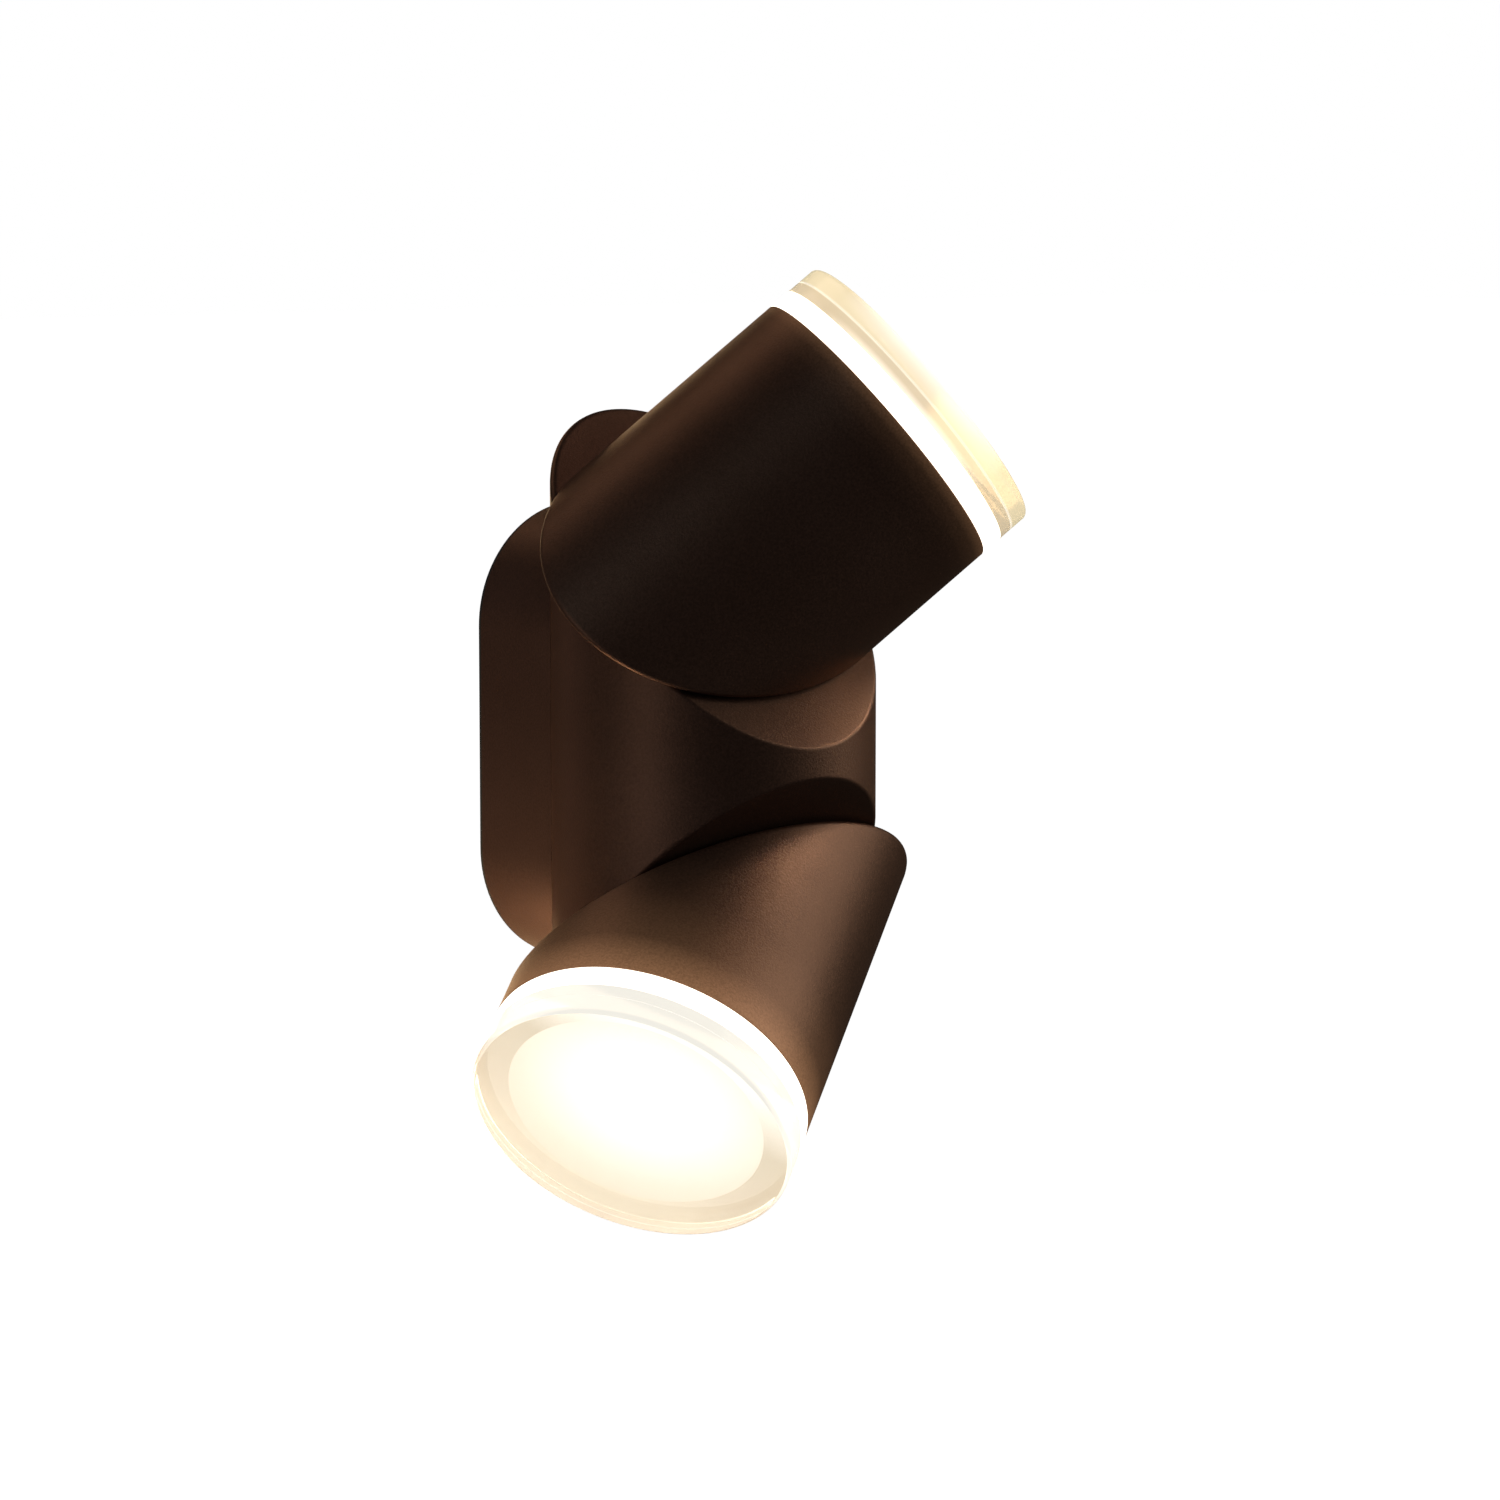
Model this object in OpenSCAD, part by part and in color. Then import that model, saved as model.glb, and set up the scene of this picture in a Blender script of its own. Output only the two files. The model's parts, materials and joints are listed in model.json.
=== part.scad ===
// Wall light with two spot heads that swivel on mitred faces of an upright column.
// X runs along the wall, +Y points into the wall, +Z is up.
// The origin is the centre of the wall screw pattern, on the wall.

/* [Column] */
// Outside diameter of the column and of both lamp heads
body_d = 100; // [94:1:120]
// Height of the column's short side, which faces the room
column_front_h = 9.2; // [4:0.2:40]
// Wall thickness of the column
column_wall = 3; // [2.5:0.25:4.5]
// Thickness of the mitred faces of the column and of the heads
face_t = 5; // [4:0.25:6]

/* [Wall canopy] */
// Distance from the wall to the back of the column
column_stand = 18; // [15:0.5:36]
// Width of the canopy
canopy_w = 80; // [76:1:88]
// Height of the canopy
canopy_h = 146; // [142:1:170]
// Length of the straight stretch at the top and at the bottom of the canopy
canopy_flat = 4; // [1:0.5:12]
// Wall thickness of the canopy
canopy_wall = 3; // [2:0.25:4]
// Thickness of the foam gasket between the canopy and the wall
gasket_t = 1.5; // [1:0.25:3]

/* [Wall bracket] */
// Thickness of the strap that is screwed to the wall box
strap_t = 2.5; // [1.5:0.25:3]
// Width of the strap
strap_w = 34; // [30:1:44]
// Distance between the centres of the two slots
slot_spacing = 86.1; // [83:0.1:96]
// Width of each slot
slot_w = 4.6; // [4:0.1:6]
// Length of each slot from end to end
slot_len = 11; // [8:0.5:14]
// Diameter of the hole that the wires from the wall come through
wire_hole_d = 22; // [14:1:26]

/* [Heads] */
// Length of a head's short side, from its mitred edge to the front rim of its metal housing
head_front_h = 15.1; // [12:0.1:50]
// Wall thickness of a head's housing
head_wall = 3; // [2.5:0.25:3.5]
// Gap between the column's mitred face and a head's
swivel_gap = 1; // [0.6:0.1:1.2]
// Turn of the upper head at rest, where 0 points straight up
upper_turn = -73.7; // [-175:0.1:175]
// Turn of the lower head at rest, where 0 points straight down
lower_turn = -77.4; // [-175:0.1:175]
// How far a head turns each way from straight before its pin meets the stop
swivel_limit = 175; // [120:1:175]

/* [Front of a head] */
// Height of the frosted ring that shows between the housing and the clear lens
ring_h = 6.8; // [4:0.2:12]
// Width of the ring's front face, between its edge and the opal diffuser
ring_face_w = 10; // [8.5:0.5:12]
// Thickness of the clear lens
lens_h = 11; // [6:0.5:20]
// Rounding of the clear lens at its front edge
lens_edge_r = 1.5; // [0.5:0.25:3]
// Thickness of the opal diffuser
diffuser_t = 2; // [1:0.25:3]

/* [Swivel] */
// Diameter of the hollow spindle that a head turns on
spindle_d = 16; // [14:0.5:17]
// Diameter of the spindle's bore, which the lead passes through
spindle_bore_d = 10; // [7:0.5:11]
// Diameter of the lead inside the light
lead_d = 4.4; // [3:0.2:5.6]
// Distance of the stop pin from the swivel axis
stop_r = 30; // [28:0.5:34]
// Diameter of the stop pin
stop_pin_d = 3; // [2:0.25:3.5]

/* [Driver] */
// Width of the driver's case
driver_w = 44; // [34:1:48]
// Depth of the driver's case
driver_d = 26; // [18:1:27]

/* [Hidden] */
$fn = 96;

// Upper half and lower half
upper = 1;
lower = -1;
halves = [upper, lower];
// Tilt of the mitred faces
mitre = 45;

// Clearances
overrun = 1;
running_fit = 0.05;
seat_fit = 0.05;
part_gap = 0.3;
room = 0.8;

// Colours
bronze = "#33231b";
steel = "#b4b6b8";
brass = "#b89a55";
cast = "#9a9da0";
black = "#222222";
white = "#f1efe9";
frosted = "#fff2d6";
clear = [0.95, 0.93, 0.88, 0.45];

// Column
body_r = body_d / 2;
reach = 4 * body_d;
standoff = body_r + column_stand;
pivot_rise = column_front_h / 2 + body_r * tan(mitre);
column_back_y = -column_stand;

// Swivel, measured along its axis from the column's face towards the head
spindle_r = spindle_d / 2;
bush_t = 2;
bush_r = spindle_r + running_fit + bush_t;
bush_flange_t = 1;
bush_flange_w = 3;
boss_h = 9;
boss_r = bush_r + 4 * bush_flange_t;
groove_depth = face_t / 2;
stop_pin_r = stop_pin_d / 2;
groove_w = stop_pin_d + 2 * part_gap;
head_boss_h = 3.5;
flange_seat = swivel_gap + face_t + head_boss_h;
flange_t = 3.5;
flange_w = 6;
flange_r = spindle_r + flange_w;
head_boss_rim = 1.5;
head_boss_r = flange_r + head_boss_rim;
friction_washer_t = 1.5;
disc_spring_h = 2.4;
disc_spring_t = 0.9;
plain_washer_t = 1.2;
nut_h = 8;
nut_across_flats = 1.5 * spindle_d;
nut_r = nut_across_flats / 2 / cos(30);
washer_w = 5;
washer_r = spindle_r + washer_w;
washer_hole_r = spindle_r + part_gap;
friction_washer_end = boss_h + bush_flange_t + friction_washer_t;
disc_spring_end = friction_washer_end + disc_spring_h;
plain_washer_end = disc_spring_end + plain_washer_t;
nut_end = plain_washer_end + nut_h;
spindle_end = nut_end + room;
seal_inset = 8;
seal_r = stop_r - seal_inset;
seal_section_r = 1.1;
seal_groove_w = 2.8;
seal_groove_depth = 2 * seal_section_r + part_gap - swivel_gap + seat_fit;

// Small screws: radius of thread, radius of head, height of head
m4_r = 2;
m4_head_r = 3.6;
m4_head_h = 2.2;
m3_r = 1.5;
m3_head_r = 2.7;
m3_head_h = 1.9;
m2_r = 1.25;
m2_head_r = 2.3;
m2_head_h = 1.5;
clear_hole = 0.2;
flange_screw_r = spindle_r + flange_w / 2;
flange_screw_len = 9;

// Light engine, measured along a head's axis from the swivel centre
head_len = swivel_gap / cos(mitre) + body_r * tan(mitre) + head_front_h;
housing_bore_r = body_r - head_wall;
ring_top = head_len + ring_h;
diffuser_r = body_r - ring_face_w;
diffuser_back = ring_top - diffuser_t;
ledge_w = 1.5;
spigot_len = 4.2;
spigot_r = housing_bore_r - part_gap;
spigot_t = 4.5;
lens_seal_r = 0.9;
lens_seal_groove_w = 2;
reflector_t = 1.2;
reflector_h = 9.5;
reflector_foot_r = 21.5;
reflector_rim_r = diffuser_r - ledge_w - reflector_t - 2 * part_gap;
reflector_rim_z = diffuser_back - part_gap;
reflector_foot_z = reflector_rim_z - reflector_h;
board_t = 1.6;
board_front = reflector_foot_z - seat_fit;
board_r = 31;
board_screw_x = 28.3;
board_screw_len = 4;
chip_w = 3;
chip_h = 0.9;
chip_rings = [[1, 0], [6, 8], [12, 17]];
sink_t = 3.5;
sink_r = housing_bore_r - part_gap;
sink_front = board_front - board_t;
sink_back = sink_front - sink_t;
post_r = 4.5;
post_bite = 0.5;
post_circle_r = housing_bore_r - post_r + post_bite;
post_angles = [30, 150, 270];
sink_screw_len = 9;
fin_t = 1.6;
fin_pitch = 4.5;
fin_count = 3;
fin_first = head_boss_r + room + fin_t / 2;
fin_h = 30;
fin_span = 68;

// Leads
lead_r = lead_d / 2;
lead_tail = 2;
lead_start = spindle_end + lead_tail;
lead_stub = 3;
lead_rise = flange_seat + flange_t + lead_stub;
lead_bend_r = 12;
lead_turn_y = lead_bend_r * (1 - cos(mitre));
lead_turn_z = lead_rise + lead_bend_r * sin(mitre);
lead_y = lead_turn_y * cos(mitre) - lead_turn_z * sin(mitre);
lead_z = lead_turn_y * sin(mitre) + lead_turn_z * cos(mitre);
feed_start = lead_start + part_gap;
feed_run = 4;
feed_bend_r = 8;
feed_elbow_r = 6;
feed_z = 13.5;

// Driver and what carries it, with the plate between driver and wall
driver_offset = 8;
nut_clearance = 1.5;
plate_t = 1.5;
plate_rim = 2;
plate_h = 2 * (pivot_rise - (nut_end + nut_r) * sin(mitre) - nut_clearance);
driver_h = plate_h - 2 * plate_rim;
plate_front_y = driver_offset - standoff;
plate_back_y = plate_front_y + plate_t;
driver_boss_r = 4;
plate_screw_x = driver_w / 2 + 2 * driver_boss_r;
plate_w = 2 * (plate_screw_x + driver_boss_r);
driver_screw_len = 9;
driver_screw_inset = 6;
driver_fix_x = driver_w / 2 - driver_screw_inset;
driver_fix_z = driver_h / 2 - driver_screw_inset;
driver_rim = 1.5;
terminal_w = 30;
terminal_d = 12;
terminal_h = 14;
terminal_pitch = 9;
terminal_well_r = 3;
terminal_well_depth = 5;
terminal_way_w = 4;
terminal_screw_r = 2.4;
terminal_screw_h = 3;
terminal_slot_w = 0.8;
pole_shares = [-1, 0, 1];

// The feed lead's path from the spindle down to the driver, seen from the side
feed_n = feed_start * sin(mitre) + feed_run * sin(mitre) + feed_bend_r * (1 - cos(mitre));
feed_drop_z = pivot_rise - (feed_start + feed_run) * cos(mitre) - feed_bend_r * sin(mitre);
feed_fall = feed_drop_z - feed_elbow_r - feed_z;
feed_reach = feed_n - feed_elbow_r - driver_offset;

// Canopy
canopy_r = (canopy_w - canopy_flat) / 2;
seat_r = body_r + seat_fit;
neck_pad_r = 5;
neck_screw_x = 14;
neck_screw_inset = 12;
neck_screw_z = canopy_h / 2 - canopy_wall - neck_screw_inset;
window_w = 44;
window_rim = 11;
window_h = 2 * (neck_screw_z - neck_pad_r - window_rim);
neck_pad_h = 5;
neck_pad_y = column_back_y + neck_pad_h;
neck_boss_r = 4.5;
neck_boss_h = 10;
neck_screw_len = 14;
gasket_inset = 0.3;

// Bracket
ear_clear = 1.5;
ear_len = column_stand - canopy_wall - ear_clear;
strap_end_z = canopy_h / 2 - canopy_wall - ear_clear;
inner_r = canopy_r - canopy_wall;
tongue_w = canopy_flat + 2 * sqrt(pow(inner_r, 2) - pow(inner_r - ear_clear, 2)) - 2 * ear_clear;
strap_side = strap_w / 2 - canopy_flat / 2;
strap_half = canopy_h / 2 - canopy_r + sqrt(pow(inner_r, 2) - pow(strap_side, 2)) - 2 * ear_clear;
canopy_screw_y = -(strap_t + ear_len) / 2;
canopy_screw_len = 9;
ground_r = 2.5;
ground_head_r = 5;
ground_x = ground_head_r + 2 * part_gap - strap_w / 2 + ear_clear;
ground_z = 24;
ground_head_h = 3.5;
ground_washer_h = 0.8;

// Turns the upper half's frame over to make the lower half's
module half_turn(side) {
    rotate([0, side == upper ? 0 : 180, 0]) children();
}

// Frame of a swivel: Z leaves the column's mitred face at its centre
module at_pivot(side) {
    half_turn(side) translate([0, -standoff, pivot_rise]) rotate([mitre, 0, 0]) children();
}

// The swivel's frame turned with the head
module on_spindle(side) {
    at_pivot(side) rotate([0, 0, side == upper ? upper_turn : lower_turn]) children();
}

// Frame of a head: Z runs along the head towards its lens
module at_head(side) {
    on_spindle(side) rotate([-mitre, 0, 0]) children();
}

// A head's frame tilted to the swivel's axis
module swivel_frame() {
    rotate([mitre, 0, 0]) children();
}

// Ring about Z with a rectangular section, standing on z
module ring(outer, inner, height, z = 0) {
    translate([0, 0, z]) rotate_extrude() translate([inner, 0]) square([outer - inner, height]);
}

// Pan-head screw: the head stands on z 0 and the thread points down
module screw(radius, length, head_r, head_h) {
    translate([0, 0, -length]) cylinder(r = radius, h = length + head_h / 2);
    difference() {
        cylinder(r = head_r, h = head_h);
        translate([0, 0, head_h / 2]) cylinder(r = head_r / 2, h = head_h, $fn = 6);
    }
}

// Straight stretch of lead along Z, with the next stretch at its end
module lead_run(length) {
    cylinder(r = lead_r - seat_fit, h = length);
    translate([0, 0, length]) children();
}

// Bend of a lead from Z towards Y, a hair thicker than the straight stretches, with the next at its end
module lead_bend(bend_r, angle) {
    translate([0, bend_r, 0]) rotate([90, 0, -90])
        rotate_extrude(angle = angle) translate([bend_r, 0]) circle(r = lead_r);
    translate([0, bend_r * (1 - cos(angle)), bend_r * sin(angle)]) rotate([-angle, 0, 0]) children();
}

// Column solid with both ends mitred, drawn in from its side and from its faces
module column_core(side_inset, face_inset) {
    difference() {
        translate([0, -standoff, -reach / 2]) cylinder(r = body_r - side_inset, h = reach);
        for (side = halves) {
            at_pivot(side) translate([-reach / 2, -reach / 2, -face_inset]) cube(reach);
        }
    }
}

// Places children on the four screws between the canopy and the column, with Z towards the room
module at_neck_screws(y) {
    for (x = [-neck_screw_x, neck_screw_x], z = [-neck_screw_z, neck_screw_z]) {
        translate([x, y, z]) rotate([90, 0, 0]) children();
    }
}

// Groove that the stop pin runs in, round at both ends, where the pin stops
module stop_groove() {
    translate([0, 0, -groove_depth]) {
        rotate([0, 0, 90 - swivel_limit]) rotate_extrude(angle = 2 * swivel_limit)
            translate([stop_r - groove_w / 2, 0]) square([groove_w, groove_depth + overrun]);
        for (end = [-swivel_limit, swivel_limit]) {
            rotate([0, 0, end]) translate([0, stop_r, 0]) cylinder(d = groove_w, h = groove_depth + overrun);
        }
    }
}

// Opening between the canopy and the column, for the wires
module wire_window() {
    translate([-window_w / 2, column_back_y - 4 * column_wall, -window_h / 2]) cube([window_w, reach, window_h]);
}

module column_body() {
    color(bronze) difference() {
        union() {
            difference() {
                column_core(0, 0);
                column_core(column_wall, face_t);
            }
            intersection() {
                column_core(0, 0);
                union() {
                    for (side = halves) {
                        at_pivot(side) translate([0, 0, -boss_h]) cylinder(r = boss_r, h = boss_h);
                    }
                    at_neck_screws(column_back_y) cylinder(r = neck_boss_r, h = neck_boss_h);
                    for (x = [-plate_screw_x, plate_screw_x]) {
                        translate([x, plate_front_y, 0]) rotate([90, 0, 0])
                            cylinder(r = driver_boss_r, h = body_r + driver_offset);
                    }
                }
            }
        }
        wire_window();
        for (side = halves) {
            at_pivot(side) {
                translate([0, 0, -boss_h - overrun]) cylinder(r = bush_r + seat_fit, h = boss_h + 2 * overrun);
                stop_groove();
            }
        }
        at_neck_screws(column_back_y + overrun) cylinder(r = m4_r + seat_fit, h = neck_boss_h);
        for (x = [-plate_screw_x, plate_screw_x]) {
            translate([x, plate_front_y + overrun, 0]) rotate([90, 0, 0])
                cylinder(r = m3_r + seat_fit, h = driver_screw_len + overrun);
        }
    }
}

// Outline of the canopy, drawn in by inset, as a union of plain shapes
module canopy_outline(inset) {
    r = canopy_r - inset;
    x = canopy_flat / 2;
    z = canopy_h / 2 - canopy_r;
    square([2 * x, canopy_h - 2 * inset], center = true);
    square([canopy_w - 2 * inset, 2 * z], center = true);
    for (sx = [-x, x], sz = [-z, z]) {
        translate([sx, sz]) circle(r = r);
    }
}

// Canopy block from y towards the room
module canopy_block(inset, y, depth) {
    translate([0, y, 0]) rotate([90, 0, 0]) linear_extrude(height = depth) canopy_outline(inset);
}

module wall_canopy() {
    color(bronze) difference() {
        union() {
            difference() {
                canopy_block(0, -gasket_t, standoff - gasket_t);
                difference() {
                    canopy_block(canopy_wall, overrun, standoff);
                    translate([0, -standoff, -reach / 2]) cylinder(r = seat_r + canopy_wall, h = reach);
                }
            }
            at_neck_screws(neck_pad_y) cylinder(r = neck_pad_r, h = neck_boss_h);
        }
        translate([0, -standoff, -reach / 2]) cylinder(r = seat_r, h = reach);
        wire_window();
        at_neck_screws(neck_pad_y + overrun) cylinder(r = m4_r + clear_hole, h = neck_boss_h + overrun);
        for (side = halves) {
            half_turn(side) translate([0, canopy_screw_y, strap_end_z])
                cylinder(r = m4_r + clear_hole, h = canopy_h / 2);
        }
    }
}

module wall_gasket() {
    color(black) difference() {
        canopy_block(gasket_inset, 0, gasket_t);
        canopy_block(canopy_wall, overrun, gasket_t + 2 * overrun);
    }
}

// Hole with round ends along Z, cut through the strap
module slot_cut(z) {
    straight = slot_len - slot_w;
    for (end = [-straight / 2, straight / 2]) {
        translate([0, overrun, z + end]) rotate([90, 0, 0]) cylinder(r = slot_w / 2, h = strap_t + 2 * overrun);
    }
    translate([-slot_w / 2, -strap_t - overrun, z - straight / 2]) cube([slot_w, strap_t + 2 * overrun, straight]);
}

module mounting_bracket() {
    color(steel) difference() {
        union() {
            translate([-strap_w / 2, -strap_t, -strap_half]) cube([strap_w, strap_t, 2 * strap_half]);
            translate([-tongue_w / 2, -strap_t, -strap_end_z]) cube([tongue_w, strap_t, 2 * strap_end_z]);
            for (side = halves) {
                half_turn(side) translate([-tongue_w / 2, -ear_len, strap_end_z - strap_t])
                    cube([tongue_w, ear_len, strap_t]);
            }
        }
        translate([0, overrun, 0]) rotate([90, 0, 0]) cylinder(d = wire_hole_d, h = strap_t + 2 * overrun);
        for (side = halves) {
            slot_cut(side * slot_spacing / 2);
            half_turn(side) translate([0, canopy_screw_y, strap_end_z - 2 * strap_t])
                cylinder(r = m4_r + seat_fit, h = 3 * strap_t);
        }
        translate([ground_x, overrun, ground_z]) rotate([90, 0, 0])
            cylinder(r = ground_r + seat_fit, h = strap_t + 2 * overrun);
    }
}

module ground_screw() {
    color("#3f8f4a") translate([ground_x, -strap_t, ground_z]) rotate([90, 0, 0]) {
        cylinder(r = ground_head_r, h = ground_washer_h);
        difference() {
            cylinder(r = ground_head_r - ground_washer_h, h = ground_head_h, $fn = 6);
            translate([-ground_head_r, -ground_washer_h / 2, ground_head_h - ground_washer_h])
                cube([2 * ground_head_r, ground_washer_h, 2 * ground_washer_h]);
        }
        translate([0, 0, -strap_t]) cylinder(r = ground_r, h = strap_t + ground_washer_h / 2);
    }
}

module canopy_screws() {
    color(bronze) for (side = halves) {
        half_turn(side) translate([0, canopy_screw_y, canopy_h / 2])
            screw(m4_r, canopy_screw_len, m4_head_r, m4_head_h);
    }
}

module neck_screws() {
    color(steel) at_neck_screws(neck_pad_y) rotate([180, 0, 0])
        screw(m4_r, neck_screw_len, m4_head_r, m4_head_h);
}

// Plate inside the column that carries the driver and the terminal block
module driver_plate() {
    color(steel) difference() {
        translate([-plate_w / 2, plate_front_y, -plate_h / 2]) cube([plate_w, plate_t, plate_h]);
        for (x = [-plate_screw_x, plate_screw_x]) {
            translate([x, plate_back_y + overrun, 0]) rotate([90, 0, 0])
                cylinder(r = m3_r + clear_hole, h = plate_t + 2 * overrun);
        }
        for (z = [-feed_z, feed_z]) {
            translate([0, plate_back_y + overrun, z]) rotate([90, 0, 0])
                cylinder(r = lead_r + room, h = plate_t + 2 * overrun);
        }
        for (side = halves) {
            translate([side * driver_fix_x, plate_back_y + overrun, side * driver_fix_z]) rotate([90, 0, 0])
                cylinder(r = m3_r + clear_hole, h = plate_t + 2 * overrun);
        }
    }
}

// Sealed driver: a case with a lid that stands in a little from its edge
module led_driver() {
    color(white) difference() {
        union() {
            translate([-driver_w / 2, plate_front_y - driver_d + driver_rim, -driver_h / 2])
                cube([driver_w, driver_d - driver_rim, driver_h]);
            translate([driver_rim - driver_w / 2, plate_front_y - driver_d, driver_rim - driver_h / 2])
                cube([driver_w - 2 * driver_rim, driver_d / 2, driver_h - 2 * driver_rim]);
        }
        for (side = halves) {
            translate([side * driver_fix_x, plate_front_y + overrun, side * driver_fix_z]) rotate([90, 0, 0])
                cylinder(r = m3_r + seat_fit, h = driver_screw_len + overrun);
        }
    }
}

module driver_screws() {
    color(steel) {
        for (x = [-plate_screw_x, plate_screw_x]) {
            translate([x, plate_back_y, 0]) rotate([-90, 0, 0])
                screw(m3_r, driver_screw_len, m3_head_r, m3_head_h);
        }
        for (side = halves) {
            translate([side * driver_fix_x, plate_back_y, side * driver_fix_z]) rotate([-90, 0, 0])
                screw(m3_r, driver_screw_len, m3_head_r, m3_head_h);
        }
    }
}

// Three-pole block for the wires from the wall, with a screw well and a wire way for each pole
module terminal_block() {
    color(white) translate([0, plate_back_y, 0]) difference() {
        translate([-terminal_w / 2, 0, -terminal_h / 2]) cube([terminal_w, terminal_d, terminal_h]);
        for (share = pole_shares) {
            translate([share * terminal_pitch, terminal_d + overrun, 0]) rotate([90, 0, 0])
                cylinder(r = terminal_well_r, h = terminal_well_depth + overrun);
            translate([share * terminal_pitch - terminal_way_w / 2, terminal_way_w / 2, -terminal_h])
                cube([terminal_way_w, terminal_way_w, 2 * terminal_h]);
        }
    }
}

module terminal_screws() {
    color(brass) for (share = pole_shares) {
        translate([share * terminal_pitch, plate_back_y + terminal_d - terminal_well_depth, 0])
            rotate([-90, 0, 0]) difference() {
                cylinder(r = terminal_screw_r, h = terminal_screw_h);
                translate([-terminal_screw_r, -terminal_slot_w / 2, terminal_screw_h - terminal_slot_w])
                    cube([2 * terminal_screw_r, terminal_slot_w, 2 * terminal_slot_w]);
            }
    }
}

// Flanged bush pressed into the column's boss from inside
module bush(side) {
    color(brass) at_pivot(side) {
        ring(bush_r, spindle_r + running_fit, boss_h - part_gap, -boss_h);
        ring(bush_r + bush_flange_w, spindle_r + running_fit, bush_flange_t, -boss_h - bush_flange_t);
    }
}

// Lead from the driver up to the end of the spindle, where the head's own lead starts
module feed_lead(side) {
    color(black) at_pivot(side) translate([0, 0, -feed_start]) rotate([180, 0, 0])
        lead_run(feed_run)
        lead_bend(feed_bend_r, mitre)
        lead_run(feed_fall)
        lead_bend(feed_elbow_r, 90)
        lead_run(feed_reach);
}

// Head solid from the mitred face to end_z, drawn in from its side and from its face
module head_core(side_inset, face_inset, end_z) {
    difference() {
        translate([0, 0, -reach / 2]) cylinder(r = body_r - side_inset, h = reach / 2 + end_z);
        swivel_frame() translate([-reach / 2, -reach / 2, swivel_gap + face_inset - reach]) cube(reach);
    }
}

// Places children on the three posts that carry the heat sink
module at_posts(z) {
    for (angle = post_angles) {
        rotate([0, 0, angle]) translate([post_circle_r, 0, z]) children();
    }
}

// Places children on the three screws of the spindle's flange
module at_flange_screws(z) {
    for (angle = post_angles) {
        rotate([0, 0, angle]) translate([flange_screw_r, 0, z]) children();
    }
}

module housing(side) {
    color(bronze) at_head(side) difference() {
        union() {
            difference() {
                head_core(0, 0, head_len);
                head_core(head_wall, face_t, head_len + overrun);
            }
            intersection() {
                head_core(0, 0, head_len);
                union() {
                    swivel_frame() translate([0, 0, swivel_gap])
                        cylinder(r = head_boss_r, h = flange_seat - swivel_gap);
                    at_posts(-reach / 2) cylinder(r = post_r, h = reach / 2 + sink_back);
                }
            }
        }
        swivel_frame() {
            cylinder(r = spindle_r + seat_fit, h = flange_seat + overrun);
            ring(seal_r + seal_groove_w / 2, seal_r - seal_groove_w / 2, seal_groove_depth + overrun,
                swivel_gap - overrun);
            at_flange_screws(flange_seat + flange_t - flange_screw_len - seat_fit)
                cylinder(r = m3_r + seat_fit, h = flange_screw_len);
            translate([0, stop_r, 0]) cylinder(r = stop_pin_r + seat_fit, h = swivel_gap + face_t - overrun);
        }
        at_posts(sink_back - sink_screw_len) cylinder(r = m3_r + seat_fit, h = sink_screw_len + overrun);
    }
}

// Hollow spindle, screwed to the head by its flange
module spindle(side) {
    color(steel) on_spindle(side) difference() {
        union() {
            ring(spindle_r, spindle_bore_d / 2, spindle_end + flange_seat + flange_t, -spindle_end);
            ring(flange_r, spindle_bore_d / 2, flange_t, flange_seat);
        }
        at_flange_screws(flange_seat - overrun)
            cylinder(r = m3_r + clear_hole, h = flange_t + 2 * overrun);
    }
}

module spindle_screws(side) {
    color(steel) on_spindle(side) at_flange_screws(flange_seat + flange_t)
        screw(m3_r, flange_screw_len, m3_head_r, m3_head_h);
}

module stop_pin(side) {
    color(steel) on_spindle(side) translate([0, stop_r, part_gap - groove_depth])
        cylinder(r = stop_pin_r, h = swivel_gap + face_t - overrun + groove_depth - 2 * part_gap);
}

module swivel_seal(side) {
    color(black) on_spindle(side) translate([0, 0, seal_section_r + part_gap]) rotate_extrude()
        translate([seal_r, 0]) circle(r = seal_section_r, $fn = 32);
}

module friction_washer(side) {
    color(black) on_spindle(side) ring(washer_r, washer_hole_r, friction_washer_t, -friction_washer_end);
}

// Conical spring that keeps the head's faces and washers pressed together
module disc_spring(side) {
    rise = disc_spring_h - disc_spring_t;
    color(steel) on_spindle(side) translate([0, 0, -disc_spring_end]) rotate_extrude() polygon([
        [washer_hole_r, 0],
        [washer_r, rise],
        [washer_r, disc_spring_h],
        [washer_hole_r, disc_spring_t]
    ]);
}

module plain_washer(side) {
    color(steel) on_spindle(side) ring(washer_r, washer_hole_r, plain_washer_t, -plain_washer_end);
}

module lock_nut(side) {
    color(brass) on_spindle(side) translate([0, 0, -nut_end]) difference() {
        cylinder(r = nut_r, h = nut_h, $fn = 6);
        translate([0, 0, -overrun]) cylinder(r = spindle_r + seat_fit, h = nut_h + 2 * overrun);
    }
}

// The head's own lead, from the spindle's end on the swivel axis to the back of the LED board
module lead(side) {
    color(black) on_spindle(side) translate([0, 0, -lead_start])
        lead_run(lead_start + lead_rise)
        lead_bend(lead_bend_r, mitre)
        lead_run(sink_front - lead_z);
}

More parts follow.
